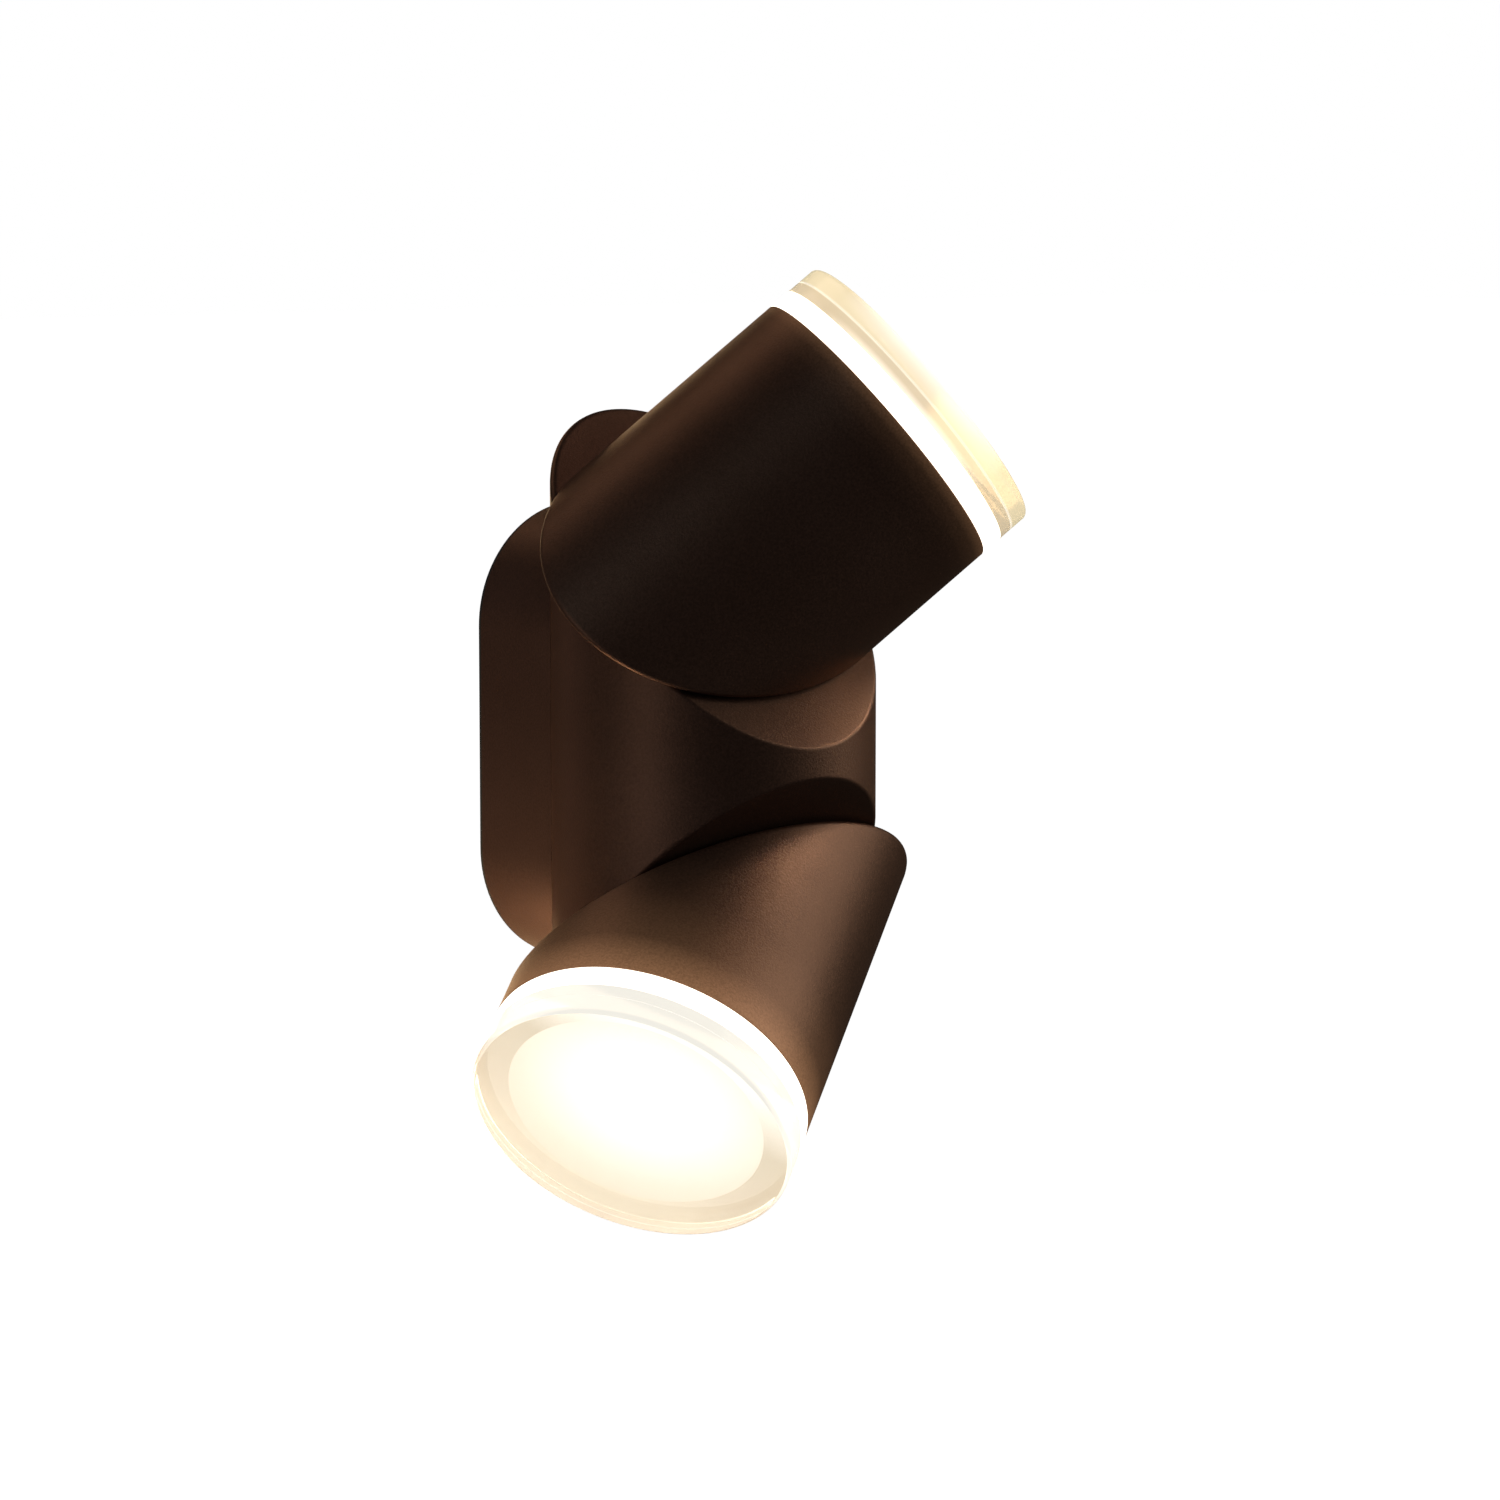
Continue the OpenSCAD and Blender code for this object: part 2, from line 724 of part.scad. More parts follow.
// Finned plate that closes the back of the light engine
module heat_sink(side) {
    color(cast) at_head(side) difference() {
        union() {
            intersection() {
                head_core(head_wall / 2, face_t + room, sink_front);
                translate([0, 0, sink_back]) cylinder(r = sink_r, h = sink_t);
            }
            intersection() {
                head_core(head_wall + room, face_t + room, sink_back + sink_t / 2);
                for (index = [0 : fin_count - 1], flip = halves) {
                    translate([flip * (fin_first + index * fin_pitch) - fin_t / 2, -fin_span / 2, sink_back - fin_h])
                        cube([fin_t, fin_span, fin_h + sink_t / 2]);
                }
            }
        }
        at_posts(sink_back - overrun) cylinder(r = m3_r + clear_hole, h = sink_t + 2 * overrun);
        translate([0, lead_y, sink_back - overrun]) cylinder(r = lead_r + room, h = sink_t + 2 * overrun);
        for (x = [-board_screw_x, board_screw_x]) {
            translate([x, 0, board_front - board_screw_len - seat_fit])
                cylinder(r = m2_r + seat_fit, h = board_screw_len + overrun);
        }
    }
}

module sink_screws(side) {
    color(steel) at_head(side) at_posts(sink_front) screw(m3_r, sink_screw_len, m3_head_r, m3_head_h);
}

module led_board(side) {
    color(white) at_head(side) difference() {
        translate([0, 0, sink_front]) cylinder(r = board_r, h = board_t);
        for (x = [-board_screw_x, board_screw_x]) {
            translate([x, 0, sink_front - overrun]) cylinder(r = m2_r + clear_hole, h = board_t + 2 * overrun);
        }
    }
}

module led_chips(side) {
    color("#f4d35e") at_head(side) for (chip_ring = chip_rings) {
        for (index = [0 : chip_ring[0] - 1]) {
            rotate([0, 0, index * 360 / chip_ring[0]])
                translate([chip_ring[1] - chip_w / 2, -chip_w / 2, board_front]) cube([chip_w, chip_w, chip_h]);
        }
    }
}

module board_screws(side) {
    color(steel) at_head(side) for (x = [-board_screw_x, board_screw_x]) {
        translate([x, 0, board_front]) screw(m2_r, board_screw_len, m2_head_r, m2_head_h);
    }
}

// Conical reflector between the board and the diffuser
module reflector(side) {
    color(white) at_head(side) rotate_extrude() polygon([
        [reflector_foot_r, reflector_foot_z],
        [reflector_foot_r + reflector_t, reflector_foot_z],
        [reflector_rim_r + reflector_t, reflector_rim_z],
        [reflector_rim_r, reflector_rim_z]
    ]);
}

module diffuser(side) {
    color(white) at_head(side) translate([0, 0, diffuser_back]) cylinder(r = diffuser_r, h = diffuser_t);
}

// Frosted ring with a ledge for the diffuser and a grooved spigot that enters the housing
module glow_ring(side) {
    groove_r = housing_bore_r - 2 * lens_seal_r - 2 * seat_fit;
    color(frosted) at_head(side) rotate_extrude() difference() {
        union() {
            translate([diffuser_r - ledge_w, head_len]) square([ring_face_w + ledge_w, ring_h]);
            translate([spigot_r - spigot_t, head_len - spigot_len]) square([spigot_t, spigot_len + ring_h / 2]);
        }
        translate([diffuser_r - 2 * ledge_w, diffuser_back])
            square([2 * ledge_w + seat_fit, diffuser_t + overrun]);
        translate([groove_r, head_len - spigot_len / 2 - lens_seal_groove_w / 2])
            square([spigot_t, lens_seal_groove_w]);
    }
}

module lens_seal(side) {
    color(black) at_head(side) translate([0, 0, head_len - spigot_len / 2]) rotate_extrude()
        translate([housing_bore_r - lens_seal_r - seat_fit, 0]) circle(r = lens_seal_r, $fn = 32);
}

// Clear puck with a rounded front edge
module lens(side) {
    color(clear) at_head(side) translate([0, 0, ring_top]) rotate_extrude() difference() {
        square([body_r, lens_h]);
        difference() {
            translate([body_r - lens_edge_r, lens_h - lens_edge_r]) square(2 * lens_edge_r);
            translate([body_r - lens_edge_r, lens_h - lens_edge_r]) circle(r = lens_edge_r);
        }
    }
}

column_body();
wall_canopy();
wall_gasket();
mounting_bracket();
ground_screw();
canopy_screws();
neck_screws();
driver_plate();
led_driver();
driver_screws();
terminal_block();
terminal_screws();
bush(upper);  // upper_bush
bush(lower);  // lower_bush
feed_lead(upper);  // upper_feed_lead
feed_lead(lower);  // lower_feed_lead
housing(upper);  // upper_housing
spindle(upper);  // upper_spindle
spindle_screws(upper);  // upper_spindle_screws
stop_pin(upper);  // upper_stop_pin
swivel_seal(upper);  // upper_swivel_seal
friction_washer(upper);  // upper_friction_washer
disc_spring(upper);  // upper_disc_spring
plain_washer(upper);  // upper_plain_washer
lock_nut(upper);  // upper_lock_nut
lead(upper);  // upper_lead
heat_sink(upper);  // upper_heat_sink
sink_screws(upper);  // upper_sink_screws
led_board(upper);  // upper_led_board
led_chips(upper);  // upper_led_chips
board_screws(upper);  // upper_board_screws
reflector(upper);  // upper_reflector
diffuser(upper);  // upper_diffuser
glow_ring(upper);  // upper_glow_ring
lens_seal(upper);  // upper_lens_seal
lens(upper);  // upper_lens
housing(lower);  // lower_housing
spindle(lower);  // lower_spindle
spindle_screws(lower);  // lower_spindle_screws
stop_pin(lower);  // lower_stop_pin
swivel_seal(lower);  // lower_swivel_seal
friction_washer(lower);  // lower_friction_washer
disc_spring(lower);  // lower_disc_spring
plain_washer(lower);  // lower_plain_washer
lock_nut(lower);  // lower_lock_nut
lead(lower);  // lower_lead
heat_sink(lower);  // lower_heat_sink
sink_screws(lower);  // lower_sink_screws
led_board(lower);  // lower_led_board
led_chips(lower);  // lower_led_chips
board_screws(lower);  // lower_board_screws
reflector(lower);  // lower_reflector
diffuser(lower);  // lower_diffuser
glow_ring(lower);  // lower_glow_ring
lens_seal(lower);  // lower_lens_seal
lens(lower);  // lower_lens
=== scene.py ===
"""Wall light with two swivelling spot heads: its looks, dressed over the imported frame.

Lengths are in metres, in the frame's own axes: X along the wall, +Y into the wall, Z up.
"""
import json
import math

import bmesh
import bpy
from mathutils import Matrix, Vector


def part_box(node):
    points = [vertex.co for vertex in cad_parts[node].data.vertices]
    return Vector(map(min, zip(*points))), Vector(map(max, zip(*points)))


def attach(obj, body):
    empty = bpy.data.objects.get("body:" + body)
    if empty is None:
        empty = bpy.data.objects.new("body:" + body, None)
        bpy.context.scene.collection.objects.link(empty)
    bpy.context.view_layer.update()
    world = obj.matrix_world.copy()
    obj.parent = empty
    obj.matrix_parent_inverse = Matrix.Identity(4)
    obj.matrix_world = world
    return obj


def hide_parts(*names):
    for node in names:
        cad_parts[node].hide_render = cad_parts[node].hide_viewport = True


MM = 0.001
UPPER, LOWER = "upper", "lower"

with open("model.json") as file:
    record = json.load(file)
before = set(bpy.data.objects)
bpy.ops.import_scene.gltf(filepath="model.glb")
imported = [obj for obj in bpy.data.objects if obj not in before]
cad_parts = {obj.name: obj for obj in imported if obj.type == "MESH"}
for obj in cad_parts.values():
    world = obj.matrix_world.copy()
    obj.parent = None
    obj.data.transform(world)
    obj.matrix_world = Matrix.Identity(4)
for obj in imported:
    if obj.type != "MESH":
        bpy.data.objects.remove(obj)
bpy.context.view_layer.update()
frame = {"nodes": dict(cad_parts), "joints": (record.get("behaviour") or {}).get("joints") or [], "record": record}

# Sizes read from the frame
joints = {joint["name"]: joint for joint in frame["joints"]}
standoff = -joints["upper_swivel"]["pos_m"][1]
pivot_rise = joints["upper_swivel"]["pos_m"][2]
body_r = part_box("column_body")[1].y + standoff

# Sizes that the frame doesn't give: column and housings
mitre = math.radians(45)
swivel_gap = 1.0 * MM
face_t = 5.0 * MM
wall_t = 3.0 * MM
spindle_r = 8.0 * MM
bush_room = 2.1 * MM
head_front_h = 15.1 * MM
head_len = swivel_gap / math.cos(mitre) + body_r * math.tan(mitre) + head_front_h
mitre_edge_r = 1.5 * MM
inner_edge_r = 0.6 * MM
rim_edge_r = 0.5 * MM
window_w = 44.0 * MM
window_h = 84.0 * MM
window_depth = 12.0 * MM

# Glow ring: its front face, the ledge that holds the diffuser, and the spigot that enters the housing
ring_h = 6.8 * MM
ring_face_w = 10.0 * MM
ledge_w = 1.5 * MM
ledge_depth = 2.0 * MM
spigot_len = 4.2 * MM
spigot_t = 4.5 * MM
spigot_fit = 0.3 * MM
fine_edge_r = 0.3 * MM

# Lens
lens_h = 11.0 * MM
lens_lift = 0.01 * MM
lens_edge_r = 1.5 * MM
lens_centre_r = 0.5 * MM
seam_h = 4.3 * MM
seam_depth = 0.12 * MM

# Mesh: points round a circle, and the sharpest edge that is shaded smooth
around = 192
smooth_angle = math.radians(32)

# Extra rings of points that keep the shading even beside a rounded edge. On a mitre edge they stand off the
# rounding by a share of its radius. The others count from the corner that the rounding takes off.
mitre_support_share = 0.4
rim_support = 4 * rim_edge_r
lens_back_support = 2 * fine_edge_r
lens_side_support = 1.2 * lens_edge_r
lens_front_support = 1.4 * lens_edge_r

# Cosine with the head's axis, past which a face belongs to the ring's front or to an end of the lens
ring_front_cosine = 0.99
lens_end_cosine = 0.995

# Noise scales, in cells per metre
floor_scale = 0.7
cloud_scale = 26
haze_scale = 60
metal_scale = 400
plastic_scale = 700
polish_scale = 900
sand_scale = 1400
frost_scale = 4000

# Painted glow on the coat beside a lit ring, in place of the light the ring throws: its colour, and its reach and
# strength on each head
PAINTED_GLOW_COLOUR = (1.0, 0.50, 0.24)
PAINTED_RING_GLOW = {UPPER: (14 * MM, 0.08), LOWER: (50 * MM, 0.25)}

# The brighter side is painted light: emission laid stronger towards one side of each head.
# Turn about a head's axis, of the side where disc, ring face and rim glow whitest, and the upper rim's own
painted_bright_turn = math.radians(-9)
upper_rim_painted_bright_turn = math.radians(-75)

# Glow of the opal disc, from its brightest point out to its far edge, and how far off centre that painted bright
# point is
DISC_GLOW = [
    (0.10, (1.05, 1.02, 0.98)),
    (0.40, (0.78, 0.76, 0.78)),
    (0.62, (0.62, 0.585, 0.575)),
    (0.82, (0.54, 0.46, 0.40)),
    (1.0, (0.48, 0.39, 0.31)),
]
disc_offset = 9 * MM

# Glow of the ring's front face, across it towards its painted bright side
RING_FACE_GLOW = [
    (0.0, (0.76, 0.68, 0.54)),
    (0.34, (0.60, 0.51, 0.39)),
    (0.62, (0.50, 0.43, 0.32)),
    (0.86, (0.98, 0.96, 0.92)),
]

# Colours of a lens's rim: the acrylic itself, then its painted glow beside the ring, on the seam, beyond the
# seam and on the painted bright side. The clear puck is no lamp, so this glow is painted light.
RIM_COLOURS = {
    UPPER: {
        "acrylic": (0.54, 0.42, 0.29),
        "tan": (0.32, 0.28, 0.205),
        "seam": (0.58, 0.56, 0.49),
        "cream": (0.45, 0.41, 0.275),
        "white": (0.92, 0.90, 0.85),
    },
    LOWER: {
        "acrylic": (0.50, 0.44, 0.36),
        "tan": (0.45, 0.38, 0.29),
        "seam": (0.60, 0.54, 0.46),
        "cream": (0.46, 0.38, 0.30),
        "white": (0.84, 0.82, 0.75),
    },
}

# Where a rim's painted bright side begins and is full, in shares of the way across a head towards its turn
RIM_PAINTED_BRIGHT_SIDE = {
    UPPER: (upper_rim_painted_bright_turn, [(0.85, 0), (0.98, 1)]),
    LOWER: (painted_bright_turn, [(0.42, 0), (0.62, 1)]),
}

# How white the upper rim's painted bright side is, from the ring to the lens's front
UPPER_RIM_PAINTED_BAND = [(0.0, 0.7), (0.2, 0.05), (0.45, 0.05), (1.0, 0.85)]

# Shares of the rim, either way from the seam, where the painted bright line on the seam starts to fade and where
# it ends
seam_inner = 0.02
seam_outer = 0.05

# Camera, from a fit to the photograph
camera_azimuth = math.radians(-38.9764)
camera_pitch = math.radians(6.8694)
camera_distance = 1474.5 * MM
camera_right = 11.245 * MM
camera_up = -0.635 * MM
camera_lens = 114.869
camera_sensor = 36
camera_clip = (0.05, 100)

# Soft boxes that face the column: name, place, size, power in watts and colour. The place counts from the
# column's middle, along the camera's right, upward and backward directions.
SOFT_BOXES = [
    ("right_box", (1.22, 0.45, -0.15), (0.6, 1.0), 8.3, (1, 0.91, 0.72)),
    ("left_box", (-1.0, -0.1, 0.95), (0.45, 1.0), 1.9, (1, 0.85, 0.69)),
    ("upper_box", (-0.5, 0.6, 0.9), (0.3, 0.3), 0.35, (0.8, 1, 1)),
    ("rim_box", (-0.6, 1.1, -0.5), (0.5, 0.5), 1.4, (1, 0.76, 0.56)),
    ("back_box", (-1.1, 0.1, -0.6), (0.4, 1.0), 0.4, (1, 0.75, 0.70)),
    ("behind_box", (-0.4, 0.0, -1.25), (0.4, 1.2), 5, (1, 0.80, 0.50)),
    ("high_box", (0.8, 1.0, -0.2), (0.4, 0.4), 1.2, (1, 0.68, 0.50)),
]

# Two small lights close by, for light that the lit heads throw: one on the column's upper face and one from
# below the canopy. Each has a place and a target in the frame's axes, then size, power and colour.
CRESCENT_BOX = ((0.127, -0.149, 0.088), (0.033, -0.118, 0.006), (0.03, 0.03), 0.002, (1, 0.80, 0.54))
crescent_spread = math.radians(20)
UNDER_GLOW = ((-0.085, -0.012, -0.125), (-0.04, -0.02, -0.05), (0.05, 0.05), 0.2, (1, 0.72, 0.44))

# The white surroundings' strength as light on the object, where 1 is their strength as a background
dim_surroundings = 0.04

# Floor: half its width, and its level below the column's middle
floor_half = 30.0
floor_level = -0.9


# Places on the object


def rest_turn(side):
    """A head's turn at rest, in radians from straight, from the middle of its joint's range."""
    low, high = joints[side + "_swivel"]["range_deg"]
    return -math.radians(low + high) / 2


def at_column():
    """Frame of the column: Z along its axis."""
    return Matrix.Translation((0, -standoff, 0))


def at_pivot(side):
    """Frame of a swivel: Z leaves the column's mitred face at its centre."""
    flip = Matrix.Rotation(0 if side == UPPER else math.pi, 4, "Y")
    return flip @ Matrix.Translation((0, -standoff, pivot_rise)) @ Matrix.Rotation(mitre, 4, "X")


def at_head(side):
    """Frame of a head: Z runs along the head towards its lens, from the swivel's centre."""
    turn = Matrix.Rotation(rest_turn(side), 4, "Z")
    return at_pivot(side) @ turn @ Matrix.Rotation(-mitre, 4, "X")


def head_axis(side):
    """Direction of a head, from its swivel to its lens."""
    return at_head(side).to_3x3() @ Vector((0, 0, 1))


def head_point(side, height):
    """Point on a head's axis, at a height from the swivel's centre."""
    return at_head(side) @ Vector((0, 0, height))


def across(side, turn):
    """Direction across a head, at a turn about its axis."""
    return at_head(side).to_3x3() @ Vector((math.cos(turn), math.sin(turn), 0))


# Mesh helpers


def new_piece(name, bm, body, material, node):
    """Turns a bmesh into a piece that rides on a body and stands for a CAD node."""
    mesh = bpy.data.meshes.new(name)
    bmesh.ops.recalc_face_normals(bm, faces=bm.faces)
    bm.to_mesh(mesh)
    bm.free()
    mesh.shade_smooth()
    mesh.set_sharp_from_angle(angle=smooth_angle)
    piece = bpy.data.objects.new(name, mesh)
    bpy.context.scene.collection.objects.link(piece)
    mesh.materials.append(material)
    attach(piece, body)
    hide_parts(node)
    return piece


def skin(rows, matrix, closed_profile=True):
    """Quads between rings of points. Each row is a ring, and the last row joins the first if closed."""
    bm = bmesh.new()
    rings = [[bm.verts.new(matrix @ p) for p in row] for row in rows]
    pairs = list(zip(rings, rings[1:]))
    if closed_profile:
        pairs.append((rings[-1], rings[0]))
    for low, high in pairs:
        for i in range(len(low)):
            j = (i + 1) % len(low)
            bm.faces.new((low[i], low[j], high[j], high[i]))
    return bm


def angles_around():
    """Angles all the way round, in radians."""
    return [2 * math.pi * i / around for i in range(around)]


def lathe_rows(profile):
    """Rings about Z through a profile of (radius, height) points."""
    angles = angles_around()
    return [[Vector((r * math.cos(a), r * math.sin(a), z)) for a in angles] for r, z in profile]


def arc(centre, radius, start, end, steps):
    """Points of a profile's arc, from start to end in degrees."""
    angles = [math.radians(start + (end - start) * i / steps) for i in range(steps + 1)]
    return [(centre[0] + radius * math.cos(a), centre[1] + radius * math.sin(a)) for a in angles]


def mitre_rows(radius, edge_r, point, normal, hole_r, steps=7):
    """Rings over the rounded edge between a cylinder about Z and a plane, then in over the plane to a hole.

    A ball of radius edge_r that rolls inside the edge gives its points.
    """
    plane_x = Vector((1, 0, 0))
    plane_y = normal.cross(plane_x)
    support = edge_r * mitre_support_share
    rows = [[] for _ in range(steps + 4)]
    for angle in angles_around():
        out = Vector((math.cos(angle), math.sin(angle), 0))
        flat = out * (radius - edge_r)
        rise = (-edge_r - normal.dot(flat - point)) / normal.z
        centre = flat + Vector((0, 0, rise))
        swing = math.acos(max(-1, min(1, out.dot(normal))))
        along = Vector((0, 0, -math.copysign(support, normal.z)))
        rows[0].append(centre + out * edge_r + along)
        for step in range(steps + 1):
            t = step / steps
            lean = (out * math.sin((1 - t) * swing) + normal * math.sin(t * swing)) / math.sin(swing)
            rows[step + 1].append(centre + lean * edge_r)
        touch = centre + normal * edge_r
        inward = (point - touch).normalized() * support
        rows[steps + 2].append(touch + inward)
        spot = touch - point
        bearing = math.atan2(spot.dot(plane_y), spot.dot(plane_x))
        on_hole = plane_x * math.cos(bearing) + plane_y * math.sin(bearing)
        rows[steps + 3].append(point + on_hole * hole_r)
    return rows


# Node helpers


def make_material(name):
    """A new node material, with its tree and shader."""
    material = bpy.data.materials.new(name)
    material.use_nodes = True
    tree = material.node_tree
    return material, tree, tree.nodes["Principled BSDF"]


def link(tree, source, target):
    """Joins an output socket to an input socket."""
    tree.links.new(source, target)


def noise(tree, scale, detail, roughness=0.5):
    """Noise in object space."""
    node = tree.nodes.new("ShaderNodeTexNoise")
    node.inputs["Scale"].default_value = scale
    node.inputs["Detail"].default_value = detail
    node.inputs["Roughness"].default_value = roughness
    coords = tree.nodes.new("ShaderNodeTexCoord")
    link(tree, coords.outputs["Object"], node.inputs["Vector"])
    return node.outputs["Fac"]


def ramp(tree, source, stops):
    """Colour ramp over a value. A stop is a place and a colour, or a place and a grey level."""
    node = tree.nodes.new("ShaderNodeValToRGB")
    elements = node.color_ramp.elements
    while len(elements) < len(stops):
        elements.new(0.5)
    for element, (place, colour) in zip(elements, stops):
        element.position = place
        element.color = (*colour, 1) if isinstance(colour, tuple) else (colour, colour, colour, 1)
    link(tree, source, node.inputs["Fac"])
    return node.outputs["Color"]


def vary(tree, source, low, high):
    """Ramp from low to high over the range that a noise mostly keeps to."""
    return ramp(tree, source, [(0.3, low), (0.7, high)])


def scaled(colour, share):
    """A colour times a share."""
    return tuple(c * share for c in colour)


def multiply(tree, first, second):
    """Product of two colours."""
    mix = tree.nodes.new("ShaderNodeMix")
    mix.data_type = "RGBA"
    mix.blend_type = "MULTIPLY"
    mix.inputs["Factor"].default_value = 1.0
    link(tree, first, mix.inputs["A"])
    link(tree, second, mix.inputs["B"])
    return mix.outputs["Result"]


def along_axis(tree, start, axis, length):
    """Share of the way from a start point along an axis, in object space, which is the frame at rest."""
    coords = tree.nodes.new("ShaderNodeTexCoord")
    offset = tree.nodes.new("ShaderNodeVectorMath")
    offset.operation = "SUBTRACT"
    offset.inputs[1].default_value = start
    link(tree, coords.outputs["Object"], offset.inputs[0])
    along = tree.nodes.new("ShaderNodeVectorMath")
    along.operation = "DOT_PRODUCT"
    along.inputs[1].default_value = axis
    link(tree, offset.outputs["Vector"], along.inputs[0])
    share = tree.nodes.new("ShaderNodeMath")
    share.operation = "DIVIDE"
    share.inputs[1].default_value = length
    link(tree, along.outputs["Value"], share.inputs[0])
    return share.outputs["Value"]


def across_head(tree, side, turn):
    """Share of the way across a head towards a turn about its axis, in object space."""
    direction = across(side, turn)
    start = head_point(side, head_len) - direction * body_r
    return along_axis(tree, start, direction, 2 * body_r)


def bump(tree, shader, source, distance, strength):
    """Bumps on the surface, from a height of 0 to 1 times a distance."""
    node = tree.nodes.new("ShaderNodeBump")
    node.inputs["Distance"].default_value = distance
    node.inputs["Strength"].default_value = strength
    link(tree, source, node.inputs["Height"])
    link(tree, node.outputs["Normal"], shader.inputs["Normal"])


def frost(tree, shader):
    """Fine bump of a frosted face."""
    bump(tree, shader, noise(tree, frost_scale, detail=1.0), distance=0.02 * MM, strength=0.3)


# Materials


def bronze_coat(name="bronze_coat", painted_glow_side=None):
    """Dark bronze powder coat with a metallic gleam and a fine sand texture.

    On a lit side's head it also has painted glow: emission in place of the light that the ring throws on the coat
    beside it.
    """
    material, tree, shader = make_material(name)
    shader.inputs["Metallic"].default_value = 0.7
    shader.inputs["Specular IOR Level"].default_value = 0.3
    shader.inputs["Specular Tint"].default_value = (0.75, 0.55, 0.42, 1)
    grain = noise(tree, sand_scale, detail=3.0, roughness=0.7)
    cloud = noise(tree, cloud_scale, detail=2.0)
    colour = vary(tree, cloud, (0.110, 0.062, 0.047), (0.130, 0.075, 0.058))
    fleck = ramp(tree, grain, [(0.35, 0.70), (0.65, 1.0)])
    link(tree, multiply(tree, colour, fleck), shader.inputs["Base Color"])
    link(tree, vary(tree, grain, 0.40, 0.50), shader.inputs["Roughness"])
    bump(tree, shader, grain, distance=0.12 * MM, strength=0.8)
    if painted_glow_side:
        # Painted glow: emission on the coat, strongest beside the ring
        reach, strength = PAINTED_RING_GLOW[painted_glow_side]
        share = along_axis(tree, head_point(painted_glow_side, head_len - reach), head_axis(painted_glow_side), reach)
        faint = scaled(PAINTED_GLOW_COLOUR, 0.04)
        weak = scaled(PAINTED_GLOW_COLOUR, 0.22)
        glow = ramp(tree, share, [(0.0, 0), (0.35, faint), (0.72, weak), (1.0, PAINTED_GLOW_COLOUR)])
        link(tree, multiply(tree, glow, fleck), shader.inputs["Emission Color"])
        shader.inputs["Emission Strength"].default_value = strength
    return material


def clear_lens():
    """Clear polished acrylic with a warm tint."""
    material, tree, shader = make_material("clear_lens")
    shader.inputs["Base Color"].default_value = (0.99, 0.97, 0.92, 1)
    shader.inputs["Transmission Weight"].default_value = 1.0
    shader.inputs["IOR"].default_value = 1.49
    link(tree, vary(tree, noise(tree, polish_scale, detail=1.0), 0.02, 0.05), shader.inputs["Roughness"])
    return material


def glowing(name, base, colour, strength, dip):
    """Frosted translucent acrylic, lit from inside, whose glow dips here and there by a small share."""
    material, tree, shader = make_material(name)
    shader.inputs["Base Color"].default_value = (*base, 1)
    shader.inputs["Roughness"].default_value = 0.45
    haze = noise(tree, haze_scale, detail=2.0)
    link(tree, vary(tree, haze, scaled(colour, 1 - dip), colour), shader.inputs["Emission Color"])
    shader.inputs["Emission Strength"].default_value = strength
    frost(tree, shader)
    return material


def glowing_disc(side):
    """Opal acrylic, brightest towards one side of the disc as painted light, that falls off slowly towards the
    other.
    """
    material, tree, shader = make_material(side + "_opal_diffuser")
    shader.inputs["Base Color"].default_value = (0.45, 0.41, 0.35, 1)
    middle = head_point(side, head_len + ring_h) + across(side, painted_bright_turn) * disc_offset
    coords = tree.nodes.new("ShaderNodeTexCoord")
    place = tree.nodes.new("ShaderNodeVectorMath")
    place.operation = "DISTANCE"
    place.inputs[1].default_value = middle
    link(tree, coords.outputs["Object"], place.inputs[0])
    share = tree.nodes.new("ShaderNodeMath")
    share.operation = "DIVIDE"
    share.inputs[1].default_value = body_r - ring_face_w + disc_offset
    link(tree, place.outputs["Value"], share.inputs[0])
    link(tree, ramp(tree, share.outputs["Value"], DISC_GLOW), shader.inputs["Emission Color"])
    shader.inputs["Emission Strength"].default_value = 1.0
    link(tree, vary(tree, noise(tree, frost_scale, detail=1.0), 0.40, 0.50), shader.inputs["Roughness"])
    return material


def ring_face(side):
    """Frosted acrylic of the ring's front face, dimmer than its outside, and whiter on its painted bright side."""
    material, tree, shader = make_material(side + "_ring_face")
    shader.inputs["Base Color"].default_value = (0.20, 0.175, 0.14, 1)
    shader.inputs["Roughness"].default_value = 0.45
    uneven = vary(tree, noise(tree, haze_scale, detail=2.0), 0.97, 1.0)
    tint = ramp(tree, across_head(tree, side, painted_bright_turn), RING_FACE_GLOW)
    link(tree, multiply(tree, tint, uneven), shader.inputs["Emission Color"])
    shader.inputs["Emission Strength"].default_value = 1.0
    frost(tree, shader)
    return material


